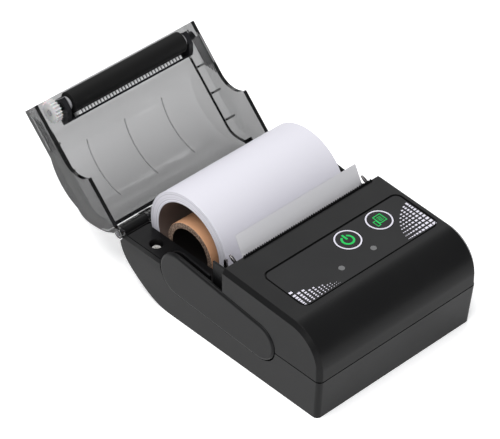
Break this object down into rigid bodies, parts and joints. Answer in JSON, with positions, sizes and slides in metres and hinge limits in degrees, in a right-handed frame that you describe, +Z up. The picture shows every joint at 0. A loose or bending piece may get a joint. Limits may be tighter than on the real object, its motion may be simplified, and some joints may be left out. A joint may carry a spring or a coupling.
{
  "type": "portable receipt printer",
  "caption": "Palm-size thermal receipt printer with a hinged smoked lid swung open over a loaded paper roll, round keys and side release pads.",
  "frame": {"origin": "on the underside, midway between the side walls, at the middle of the floor's flat part", "axes": "+X to the printer's right seen from the front, +Y to the rear where the lid hinges, +Z up"},
  "size_m": [0.0768, 0.1501, 0.0535],
  "materials": {
    "dark_shell": "satin",
    "dark_insert": "matte",
    "key_film": "matte",
    "clear_grey": "polished",
    "component": "matte",
    "circuit_board": "satin",
    "amber_film": "satin",
    "cell_wrap": "satin",
    "steel": "satin",
    "dark_steel": "gloss",
    "paper": "matte",
    "smoked": "polished",
    "white_plastic": "satin",
    "platen_rubber": "matte",
    "card": "matte",
    "aluminium": "satin",
    "ceramic": "satin"
  },
  "bodies": {
    "base": {"lower_housing": "dark_shell", "upper_housing": "dark_shell", "keypad_overlay": "key_film", "led_pipes": "clear_grey", "key_switches": "component", "main_board": "circuit_board", "board_components": "component", "radio_module": "circuit_board", "battery_pack": "cell_wrap", "battery_door": "dark_shell", "battery_contacts": "steel", "usb_port": "steel", "case_screws": "steel", "bay_frame": "dark_insert", "bay_screw": "steel", "tear_bar": "dark_insert", "mechanism_frame": "dark_steel", "head_pivot_rod": "steel", "head_springs": "steel", "stepper_motor": "steel", "gear_posts": "steel", "gear_cover": "dark_insert", "paper_sensor": "component", "head_flex": "amber_film", "hinge_pins": "steel", "paper_web": "paper"},
    "lid": {"lid_cover": "smoked", "platen_bracket": "dark_insert", "guide_strip": "white_plastic", "bearing_rings": "white_plastic", "platen_bushings": "dark_insert"},
    "platen": {"platen_roller": "platen_rubber", "platen_shaft": "steel", "platen_gear": "white_plastic"},
    "paper_roll": {"paper_roll": "paper"},
    "paper_core": {"paper_core": "card"},
    "power_key": {"power_key": "key_film"},
    "feed_key": {"feed_key": "key_film"},
    "left_release": {"left_release_button": "dark_shell"},
    "right_release": {"right_release_button": "dark_shell"},
    "print_head": {"print_head_sink": "aluminium", "print_head_strip": "ceramic"},
    "motor_rotor": {"motor_pinion": "steel"},
    "transfer_gear": {"transfer_gear": "white_plastic"},
    "idler_gear": {"idler_gear": "white_plastic"}
  },
  "joints": [
    {"name": "lid_hinge", "type": "hinge", "parent": "base", "child": "lid", "pos_m": [0, 0.0499, 0.0213], "axis": [1, 0, 0], "range_deg": [0, 134], "deforming": ["paper_web"]},
    {"name": "platen_spin", "type": "hinge", "parent": "lid", "child": "platen", "pos_m": [0, 0.091, 0.04917], "axis": [1, 0, 0], "continuous": true},
    {"name": "roll_spin", "type": "hinge", "parent": "base", "child": "paper_roll", "pos_m": [0, 0.026, 0.0251], "axis": [1, 0, 0], "continuous": true},
    {"name": "core_spin", "type": "hinge", "parent": "base", "child": "paper_core", "pos_m": [0, 0.0255, 0.0212], "axis": [1, 0, 0], "continuous": true},
    {"name": "power_key_press", "type": "slide", "parent": "base", "child": "power_key", "axis": [0, 0.0454, -0.999], "range_m": [0, 0.0004], "stiffness_N_per_m": 300, "springref_m": -0.0006},
    {"name": "feed_key_press", "type": "slide", "parent": "base", "child": "feed_key", "axis": [0, 0.0454, -0.999], "range_m": [0, 0.0004], "stiffness_N_per_m": 300, "springref_m": -0.0006},
    {"name": "left_release_press", "type": "slide", "parent": "base", "child": "left_release", "axis": [1, 0, 0], "range_m": [0, 0.001], "stiffness_N_per_m": 600, "springref_m": -0.0006},
    {"name": "right_release_press", "type": "slide", "parent": "base", "child": "right_release", "axis": [-1, 0, 0], "range_m": [0, 0.001], "stiffness_N_per_m": 600, "springref_m": -0.0006},
    {"name": "print_head_tilt", "type": "hinge", "parent": "base", "child": "print_head", "pos_m": [0, -0.0052, 0.02], "axis": [1, 0, 0], "range_deg": [0, 2.5], "stiffness_Nm_per_rad": 0.2, "springref_deg": -3.44},
    {"name": "motor_spin", "type": "hinge", "parent": "base", "child": "motor_rotor", "pos_m": [0, -0.016, 0.018], "axis": [1, 0, 0], "continuous": true},
    {"name": "transfer_spin", "type": "hinge", "parent": "base", "child": "transfer_gear", "pos_m": [0, -0.0087, 0.01858], "axis": [1, 0, 0], "continuous": true},
    {"name": "idler_spin", "type": "hinge", "parent": "base", "child": "idler_gear", "pos_m": [0, -0.00535, 0.02684], "axis": [1, 0, 0], "continuous": true}
  ],
  "couplings": [
    {"joint": "core_spin", "follows": "roll_spin", "ratio": 1.3684},
    {"joint": "motor_spin", "follows": "transfer_spin", "ratio": -2},
    {"joint": "idler_spin", "follows": "transfer_spin", "ratio": -1.2}
  ]
}
